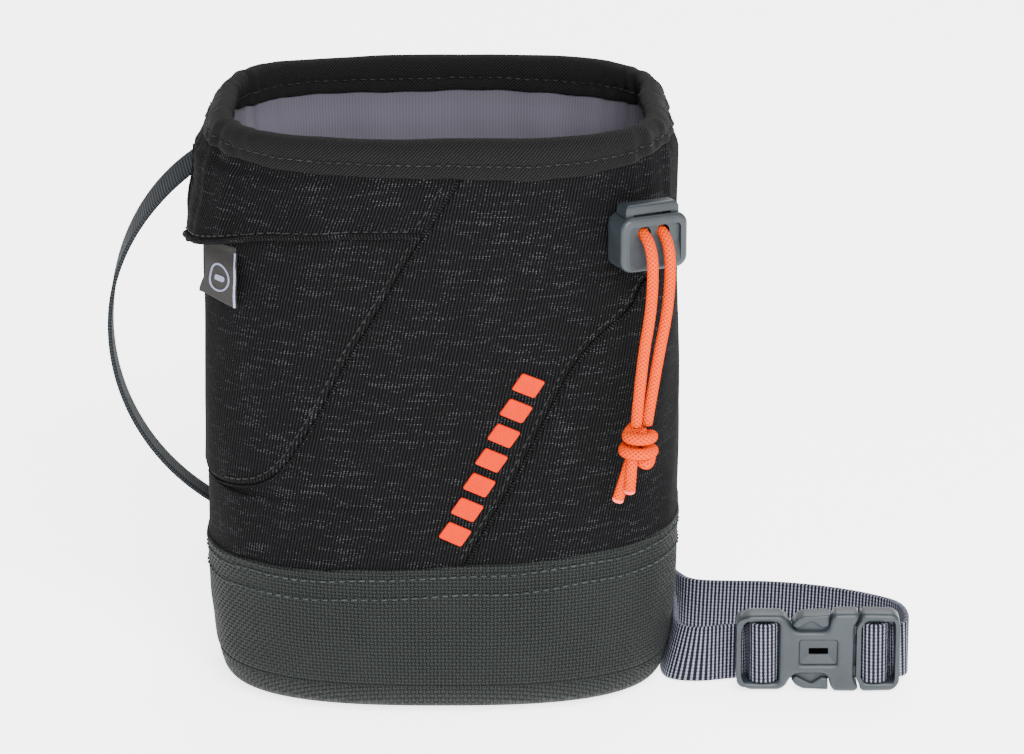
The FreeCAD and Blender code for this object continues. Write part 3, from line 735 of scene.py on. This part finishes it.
def closed_by_floor(points, z, rings):
    """Rows of points with rings added that shrink to the middle at height z."""
    spread = np.linspace(0, 1, rings)[1:, None, None]
    return np.concatenate([points, points[-1:] * (1 - spread) + np.array((0.0, 0.0, z)) * spread])


s_round = np.linspace(-ROUND / 2, ROUND / 2, 361)
rows = np.concatenate([np.linspace(0, 0.955, 46), [0.965, 0.975, 0.99, 1.0, 1.0]])
off = np.concatenate([np.full(46, 0.45), [0.75, 0.85, 0.8, 0.5, -0.2]])
ss, rr = np.meshgrid(s_round, rows)
zz = BAND_LOW + (band_top(ss) - BAND_LOW) * rr
off = off[:, None] - 0.7 * (1 - ease(zz, 9.3, 11.0))
place(grid("cloth_band", surface(ss, zz, off), (ss, zz), BAND), "bag", "band_fabric", "base_band")
inset = np.concatenate([np.full(22, 0.1), -np.linspace(2, 30, 12)])
inset[:3] = (-1.0, -0.3, 0.0)
ss, zz = np.meshgrid(s_round, np.concatenate([np.linspace(10.2, 0.15, 22), np.full(12, 0.12)]))
points = closed_by_floor(surface(ss, zz, inset[:, None]), 0.12, 5)
place(grid("cloth_base", points, (points[..., 0], points[..., 1] * 0.7 + points[..., 2]), BAND),
      "bag", "band_fabric", "base_panel")

# ---- rim binding, lining ----
# the tape's section: how far out of the wall's face, and height
profile = np.array([
    (-0.2, 151.0), (0.75, 151.3), (1.15, 152.2), (1.0, 154.0), (0.75, 155.0), (1.0, 156.2), (0.9, 157.8),
    (0.45, 159.4), (-0.5, 160.8), (-1.6, 161.4), (-2.7, 161.5), (-3.8, 161.1), (-4.7, 160.1),
    (-5.2, 158.8), (-5.45, 157.4), (-5.5, 156.2), (-5.3, 155.0), (-5.5, 154.0), (-5.6, 152.4),
    (-5.3, 151.3), (-4.8, 151.0)])
k = np.linspace(0, 1, 49)
kk = np.linspace(0, 1, len(profile))
profile = np.stack([hermite(kk, profile[:, 0], k), hermite(kk, profile[:, 1], k)], axis=1)
depth, height = profile[:, :1], profile[:, 1:]
s_rim = np.linspace(-ROUND / 2, ROUND / 2, 721)
x_rim = x_of_s(s_rim)
front = ease(-np.abs(s_rim), -SIDE - 34, -SIDE - 4)
low_edge = np.array([
    (-70.0, 154.5), (-60.0, 154.6), (-54.0, 153.8), (-46.0, 152.8), (-17.0, 152.0), (0.0, 151.6),
    (25.0, 151.0), (44.0, 152.2), (56.0, 154.0), (61.0, 155.0), (70.0, 155.2)])
low = hermite(low_edge[:, 0], low_edge[:, 1], x_rim)
low = low * front + (1 - front) * 151.8 + 0.2 * ripple(14, s_rim) + 0.12 * ripple(54, s_rim)
corner = np.exp(-((np.abs(x_rim) - 55.0) / 9.0) ** 2)
ruck = (0.10 + 0.32 * corner) * ripple(116, s_rim, 0.8 * ripple(42, s_rim))
sway = 0.5 * ripple(6, s_rim, 0.7) + 0.35 * ripple(16, s_rim)
zz = TOP + (height - TOP) * (TOP - low) / (TOP - RIM_LOW) + ease(height, 153, 160) * (0.4 * sway - 0.1)
outwards = np.where(depth > -2.8, 1.0, -1.0)
off = depth + outwards * np.exp(-((height - 154.6) / 1.8) ** 2) * ruck
ss, around = np.meshgrid(s_rim, lengths(profile))
place(grid("rim_tape", surface(ss, zz, off), (ss, around), RIM), "bag", "binding_tape", "rim_binding")

# the lining lies deeper below the rim and closes over the floor
wall = np.linspace(LINING_TOP, LINING_LOW, 90)
zs = np.concatenate([wall, [6.1, LINING_FLOOR]])
inset = np.concatenate([-5.95 + 1.2 * ease(wall, 142, 150), [-6.6, -7.6]])
s_in = np.linspace(-ROUND / 2, ROUND / 2, 481)
nap = (0.35 * ripple(18, s_in) + 0.2 * ripple(46, s_in)) * (
    ease(zs, 6, 12) * (1 - 0.8 * ease(zs, 138, 149)))[:, None]
ss, zz = np.meshgrid(s_in, zs)
points = closed_by_floor(surface(ss, zz, inset[:, None] + nap), LINING_FLOOR, 14)
on_wall = np.arange(len(points))[:, None] < len(zs)
uv = (np.where(on_wall, s_in, points[..., 0])[::-1],
      np.where(on_wall, points[..., 2], points[..., 1])[::-1])
place(grid("fleece_lining_cloth", points[::-1], uv, FLEECE), "bag", "fleece", "fleece_lining")


def inner_ply(name, z0, z1, outer, inner, material, slot_name, node):
    """Closed ring of foam or stiffener inside the wall."""
    s = np.linspace(-ROUND / 2, ROUND / 2, 241)
    z = np.linspace(z0, z1, max(4, int((z1 - z0) / 4)))
    offs = np.concatenate([np.full(len(z), outer), np.full(len(z), inner), [outer]])
    ss, zz = np.meshgrid(s, np.concatenate([z, z[::-1], z[:1]]))
    place(grid(name, surface(ss, zz, offs[:, None]), (ss, zz), material), "bag", slot_name, node)


inner_ply("foam_lower", 5.2, 134.4, -1.3, -4.3, FOAM, "foam", "wall_foam_lower")
inner_ply("foam_upper", 139.0, 149.8, -1.3, -4.3, FOAM, "foam", "wall_foam_upper")
inner_ply("rim_band_stiff", 150.4, 158.4, -1.3, -4.0, PLASTIC, "stiffener_plastic", "rim_stiffener")

# ---- pocket flap ----
def flap_point(s, z, extra):
    """The flap leaves the rim tape close to the bag and stands off more towards its hem."""
    drop = 155.5 - z
    off = np.interp(drop, (0, 4.3, 6.5, 15.5, 24, 34), (0.15, 0.25, 1.3, 2.0, 2.9, 4.4))
    points = surface(s, z, off + extra * ease(drop, 4, 8))
    points[..., 0] -= np.interp(drop, (0, 6, 15, 20, 24, 29, 34), (0.0, 0.3, 1.4, 2.1, 2.4, 2.1, 2.0))
    return points


u = np.linspace(0, 1, 90)[None, :]
v = np.linspace(0, 1, 50)[:, None]
flap_left = -SIDE - 3.0
s_top = flap_left + (s_of_x(7.6) - flap_left) * u
s_low = flap_left + (s_of_x(-2.5) - flap_left) * u
x_low = np.where(s_low < -SIDE, -HALF_W - 6, x_of_s(s_low) - 1.2)
z_hem = hermite(FLAP_HEM[:, 0], FLAP_HEM[:, 1], x_low) + 1.5 - 4.6 * ease(-s_low, SIDE - 16, SIDE + 2)
ss = s_top * (1 - v) + s_low * v
zz = 155.5 * (1 - v) + z_hem * v
curl = 0.35 * np.sin(ss / 6.0 + 1.0) * ease(v, 0.4, 1.0) + 0.25 * np.sin(ss / 2.9) * ease(v, 0.7, 1.0)
flap_points = flap_point(ss, zz, curl)
flap = grid("cloth_flap", flap_points, (ss, zz), BODY, thick=1.0, side=1.0)
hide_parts("pocket_flap")

# ---- label ----
LABEL_TOP, LABEL_TURN = np.array((-59.36, -27.68, 128.0)), math.radians(46)
across_label = np.array((math.cos(LABEL_TURN), -math.sin(LABEL_TURN), 0.0))
out_label = np.array((-math.sin(LABEL_TURN), -math.cos(LABEL_TURN), 0.0))


def label_point(a, h, raised=0.0):
    """Point of the label a mm across and h mm below its top."""
    a, h = np.broadcast_arrays(np.asarray(a, float), np.asarray(h, float))
    waviness = 0.35 * np.sin(h / 2.4 + a * 0.1 - 0.4) * ease(h, 2, 7)
    bend = 0.06 * h + waviness + ease(h, 0, 4) * (0.9 + 0.12 * (a + 6.2))
    across = a + 2.6 + bend + 0.8 * waviness - 2.2 * ease(h, 6, 13) * (0.5 - a / 12.4)
    return (LABEL_TOP + across[..., None] * across_label + (bend + raised)[..., None] * out_label
            - h[..., None] * np.array((0.0, 0.0, 1.0)))


a = np.linspace(-6.2, 6.2, 22)[None, :]
h = np.linspace(-1.5, 13.0, 34)[:, None]
label = grid("label_cloth", label_point(a, h + 0.8 * ease(a, -6, 6) * ease(h, 8, 13)),
             (np.repeat(a, 34, 0), np.repeat(h, 22, 1)), LABEL, thick=0.6, side=0.0)
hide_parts("side_label")
label_parts = [label]
ring, hole = ([(wide * math.cos(q), high * math.sin(q)) for q in np.linspace(0, 2 * math.pi, 33)[:-1]]
              for wide, high in ((4.0, 3.9), (3.5, 3.4)))
bar = rounded([(-1.9, -0.8), (1.9, -0.8), (1.9, 0.8), (-1.9, 0.8)], 0.7, 3)
for name, outlines in (("label_ring", [ring, hole]), ("label_bar", [bar])):
    mark = plate(name, outlines, 0.12, 0.04, MARK,
                 lambda p: label_point(p[:, 0], 7.2 + p[:, 1], 0.42 + p[:, 2]))
    label_parts.append(mark)
edges = [label_point(at, np.linspace(0, 13.7, 24), 0.34) for at in (5.75, 6.25)]
selvedge, _ = ribbon("label_selvedge", *edges, 0.3, MARK, 2)
label_parts.append(selvedge)

# ---- raised print ----
along_print, side_print = np.array((0.423, 0.906)), np.array((0.906, -0.423))
FIRST_BAR, BAR_PITCH = np.array((3.84, 54.0)), 7.55
for index in range(7):
    corners = [FIRST_BAR + along_print * (index * BAR_PITCH + q) + side_print * w
               for q, w in ((-2.6, -3.7), (2.6, -2.9), (2.6, 3.7), (-2.6, 2.9))]
    outline = rounded(corners, 0.7, 4)
    bar_obj = plate("print_bar_%d" % (index + 1), [outline], 0.45, 0.3, PRINT,
                    lambda p: surface(s_of_x(p[:, 0]), p[:, 1], 0.25 + p[:, 2]))
    place(bar_obj, "bag", "print_rubber")
    if index == 0:
        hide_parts("accent_print")

# ---- side loop ----
LOOP_CENTRE, LOOP_RADIUS = np.array((-32.0, 8.0, 94.3)), 58.4
left, right = [], []
for q in np.radians(np.linspace(121.5, 239.5, 60)):
    radial = np.array((math.cos(q), 0, math.sin(q)))
    middle = LOOP_CENTRE + LOOP_RADIUS * radial
    turn = 0.42 * float(ease(math.degrees(q), 175, 128)) if math.degrees(q) < 175 else 0.0
    across = np.array((0, 1, 0)) * math.cos(turn) + radial * math.sin(turn)
    left.append(middle - across * 4.0)
    right.append(middle + across * 4.0)
loop, _ = ribbon("side_loop_tape", left, right, 1.1, LOOP, 6)
place(loop, "bag", "loop_tape", "side_loop")

# ---- piping and stitching ----
def seam_line(seam, z0, z1, aside, count=160):
    """Places and heights along a seam, moved aside in the cloth (positive towards +X and down)."""
    z = np.linspace(z0, z1, count)
    s = s_of_x(np.clip(seam_x(seam, z), -HALF_W, HALF_W))
    ds, dz = np.gradient(s), np.gradient(z)
    length = np.hypot(ds, dz)
    return s + aside * dz / length, z - aside * ds / length


for name, seam, z0, z1, off in (("pocket_piping", POCKET_SEAM, 60.8, 139.0, 0.35),
                                ("corner_piping", CORNER_SEAM, 44.0, 127.5, 0.05)):
    s, z = seam_line(seam, z0, z1, 0.0)
    place(tube(name, surface(s, z, off), 0.4, BODY, 10), "bag", "body_fabric")
for name, seam, z0, z1, aside, off in (
        ("pocket_stitches", POCKET_SEAM, 62.0, 134.5, -2.3, 1.12),
        ("corner_stitches", CORNER_SEAM, 45.5, 126.0, -2.1, 0.0)):
    s, z = seam_line(seam, z0, z1, aside)
    place(stitches(name, *on_surface(s, z, off), THREAD, 2.5), "bag", "body_fabric")
for name, below in (("band_stitches_upper", 3.0), ("band_stitches_lower", 8.4)):
    wander = 0.18 * np.sin(2 * np.pi * s_rim / 43 + below)
    line = on_surface(s_rim, band_top(s_rim) - below + wander, 0.5)
    place(stitches(name, *line, THREAD_GREY, 2.7, 1.9, 0.3), "bag", "band_fabric")
z_stitch = TOP + (155.0 - TOP) * (TOP - low) / (TOP - RIM_LOW)
points, away = on_surface(s_rim, z_stitch, 0.8 + ruck)
place(stitches("rim_stitches_outer", points, away, THREAD), "bag", "binding_tape")
points, away = on_surface(s_rim, z_stitch, -5.4 - ruck)
place(stitches("rim_stitches_inner", points, -away, THREAD), "bag", "binding_tape")
seam = tube("base_seam", surface(np.linspace(0, ROUND, 361), 9.35, -0.35), 0.5, BAND, 8, cap=False)
place(seam, "bag", "band_fabric")


# the flap's stitches lie on its own surface, a little in from the edges
def along_flap(name, rows, cols):
    points = flap_points[rows, cols]
    away = np.cross(flap_points[rows, cols + 1] - points, points - flap_points[rows + 1, cols])
    away /= np.linalg.norm(away, axis=1)[:, None]
    made = stitches(name, points, away, THREAD, lift=0.12)
    return made


flap_parts = [flap, along_flap("flap_hem_stitches", np.full(86, 46), np.arange(2, 88)),
              along_flap("flap_edge_stitches", np.arange(14, 46), np.full(32, 3)),
              along_flap("flap_seam_stitches", np.arange(14, 46), np.full(32, 86))]
# rolled edges
for name, line, radius in (("flap_hem_roll", flap_points[-1], 0.95),
                           ("flap_seam_roll", flap_points[12:, -1], 0.6),
                           ("flap_edge_roll", flap_points[12:, 0], 0.7)):
    roll = tube(name, line + (0.0, 0.5, 0.0), radius, BODY, 10)
    flap_parts.append(roll)

# ---- buckle ----
def buckle_plate(name, outlines, half_thick, bevel, y=0.0, material=PLASTIC):
    """Plate of the buckle, lying y mm behind its middle."""
    return plate(name, outlines, half_thick, bevel, material,
                 lambda p: BUCKLE + np.stack([p[:, 0], y - p[:, 2], p[:, 1]], axis=1))


def mirrored(points):
    """Closed outline from its upper half."""
    return points + [(x, -z) for x, z in reversed(points)]


def pane(x0, x1, z, radius, steps):
    """Rounded rectangle that reaches z above and below the buckle's middle."""
    return rounded([(x0, -z), (x1, -z), (x1, z), (x0, z)], radius, steps)


female_half = [(0, 7.0), (1.0, 9.6), (3.4, 10.9), (11.8, 10.9), (13.5, 9.8), (14.5, 7.8), (15.8, 6.5),
               (17.2, 6.2), (23.8, 6.2), (25.0, 7.2), (25.6, 9.8), (26.6, 11.3), (32.2, 11.4),
               (33.2, 10.8), (33.1, 9.6), (32.0, 7.6)]
funnel, slot_hole = pane(17.3, 27.3, 3.4, 0.6, 3), pane(19.7, 25.0, 0.9, 0.25, 3)
count = len(funnel)
cone = [BUCKLE + (p[0], y, p[1]) for y, rim in ((-2.4, funnel), (-1.65, slot_hole)) for p in rim]
cone_faces = [(k, (k + 1) % count, count + (k + 1) % count, count + k) for k in range(count)]
female_parts = [
    buckle_plate("buckle_female_shell", [rounded(mirrored(female_half), 1.2, 4),
                                         pane(1.3, 11.6, 8.7, 1.3, 5), funnel], 3.4, 1.25),
    buckle_plate("buckle_female_core", [pane(16.4, 28.4, 4.4, 0.6, 3), slot_hole], 0.35, 0.05, -1.35),
    buckle_plate("buckle_female_bar", [pane(5.9, 7.6, 9.4, 0.3, 2)], 1.2, 0.5),
    mesh("buckle_funnel", cone, cone_faces, None, PLASTIC, smooth=False),
    # painted shade: a near-black sheet that darkens the slot hole
    buckle_plate("buckle_slot_painted_shade", [pane(19.0, 25.7, 1.5, 0.25, 3)], 0.04, 0.01, -0.95, PAINTED_SLOT_SHADE)]
for piece in female_parts:
    place(piece, "bag", "moulded_plastic")
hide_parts("buckle_female")
male_half = [(32.5, 7.5), (33.6, 9.6), (33.8, 10.9), (34.8, 11.4), (42.4, 11.2), (44.0, 10.0),
             (44.5, 7.6)]
male_window = [(33.9, -7.2), (35.2, -8.7), (43.1, -8.7), (43.1, 8.7), (35.2, 8.7), (33.9, 7.2)]
guide = [(18.8, -1.2), (18.8, 1.2), (20.4, 1.9), (34.2, 1.9), (34.2, -1.9), (20.4, -1.9)]
male_parts = [
    buckle_plate("buckle_male_frame", [rounded(mirrored(male_half), 1.2, 4),
                                       rounded(male_window, 1.0, 4)], 3.3, 1.25),
    buckle_plate("buckle_male_bar", [pane(36.9, 38.5, 9.4, 0.3, 2)], 1.2, 0.5),
    buckle_plate("buckle_male_web", [pane(31.6, 34.6, 8.4, 0.5, 2)], 1.6, 0.3, 1.2),
    buckle_plate("buckle_male_guide", [rounded(guide, 0.5, 2)], 0.85, 0.3)]
for piece in male_parts:
    place(piece, "belt_end", "moulded_plastic")
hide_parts("buckle_male")
pad = [(14.9, 7.8), (16.2, 9.6), (18.2, 10.6), (25.1, 10.9), (25.0, 7.6), (23.2, 7.2), (20.4, 9.1),
       (16.4, 6.9)]
stem = [(33.1, 4.4), (33.1, 7.2), (25.4, 7.6), (24.4, 9.4), (16.2, 9.2), (16.0, 6.0), (23.0, 5.2)]
for name, sign in (("upper", 1), ("lower", -1)):
    arm, thumb = (
        buckle_plate("latch_arm_%s_%s" % (name, part),
                     [rounded([(x, sign * z) for x, z in line], 0.5, 3)], half_thick, bevel)
        for part, line, half_thick, bevel in (("stem", stem, 1.6, 0.35), ("pad", pad, 3.0, 0.6)))
    for piece in (arm, thumb):
        place(piece, "latch_arm_" + name, "moulded_plastic")
    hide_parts("buckle_arm_" + name)
    male_parts += [arm, thumb]

# ---- cloth with its placement baked into its points ----
for piece in flap_parts:
    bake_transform(piece)
for piece in label_parts:
    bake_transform(piece)
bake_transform(belt_two)

# ---- cord lengths ----
def real_length(points):
    """Length of a line in metres."""
    return float(lengths(points)[-1] * 0.001)


for obj, line, parts in ((belt_one, belt_one_path, female_parts), (belt_two, belt_two_path, male_parts)):
    print(obj.name, "length", round(real_length(line), 3))

# ---- parts that keep their CAD shape ----
for names, material in (
        (("cord_lock_body", "cord_lock_button", "drawcord_eyelet"), LOCK_PLASTIC),
        (("cord_lock_spring",), STEEL), (("base_foam",), FOAM),
        (("drawcord_hem_loop", "drawcord_feed_right", "drawcord_feed_left"), ORANGE),
        (("belt_loop_right", "belt_loop_left"), LOOP)):
    for name in names:
        data = nodes[name].data
        data.materials.clear()
        data.materials.append(material)
        if material in (ORANGE, LOOP):
            layer = data.uv_layers.get("weave") or data.uv_layers.new(name="weave")
            for loop_corner in data.loops:
                p = data.vertices[loop_corner.vertex_index].co
                layer.data[loop_corner.index].uv = (p.z, p.x)

# ---- studio ----
FLOOR_HALF, FLOOR_DROP = 6.0, 0.0004     # metres; just below the bag, so that the two never fight
floor_mesh = bpy.data.meshes.new("floor")
floor_mesh.from_pydata([(x * FLOOR_HALF, y * FLOOR_HALF, -FLOOR_DROP)
                        for x, y in ((-1, -1), (1, -1), (1, 1), (-1, 1))], [], [(0, 1, 2, 3)])
floor = show("floor", floor_mesh)
floor_paint = Paint("floor", 0.9, 0.0, 0.0)
floor_paint.shader.inputs["Emission Color"].default_value = (1.0, 1.0, 1.0, 1.0)
floor_paint.shader.inputs["Emission Strength"].default_value = 3.0
floor_place = floor_paint.where(False)
floor_mesh.materials.append(floor_paint.finish(
    floor_paint.ramp(floor_paint.noise(floor_place, 400.0), [(0.0, "f0f0f0"), (1.0, "f4f4f4")]),
    floor_paint.noise(floor_place, 30.0), 0.01))
world = bpy.data.worlds.new("studio")
bpy.context.scene.world = world
world.use_nodes = True
sky = world.node_tree.nodes["Background"].inputs
sky["Color"].default_value = (1.0, 1.0, 1.0, 1.0)
sky["Strength"].default_value = 0.85
for name, spot, size, power, aim in (
        ("key", (0.25, -1.15, 0.85), 0.8, 56.0, (0, 0, 0.08)),
        ("fill", (1.1, -0.6, 0.8), 0.9, 8.0, (0, 0, 0.08)),
        ("back", (0.2, 1.0, 1.1), 0.9, 18.0, (0, 0, 0.1))):
    light = bpy.data.lights.new(name, "AREA")
    light.size = size
    light.energy = power
    lamp = show(name, light)
    lamp.location = spot
    lamp.rotation_euler = (Vector(aim) - Vector(spot)).to_track_quat("-Z", "Y").to_euler()
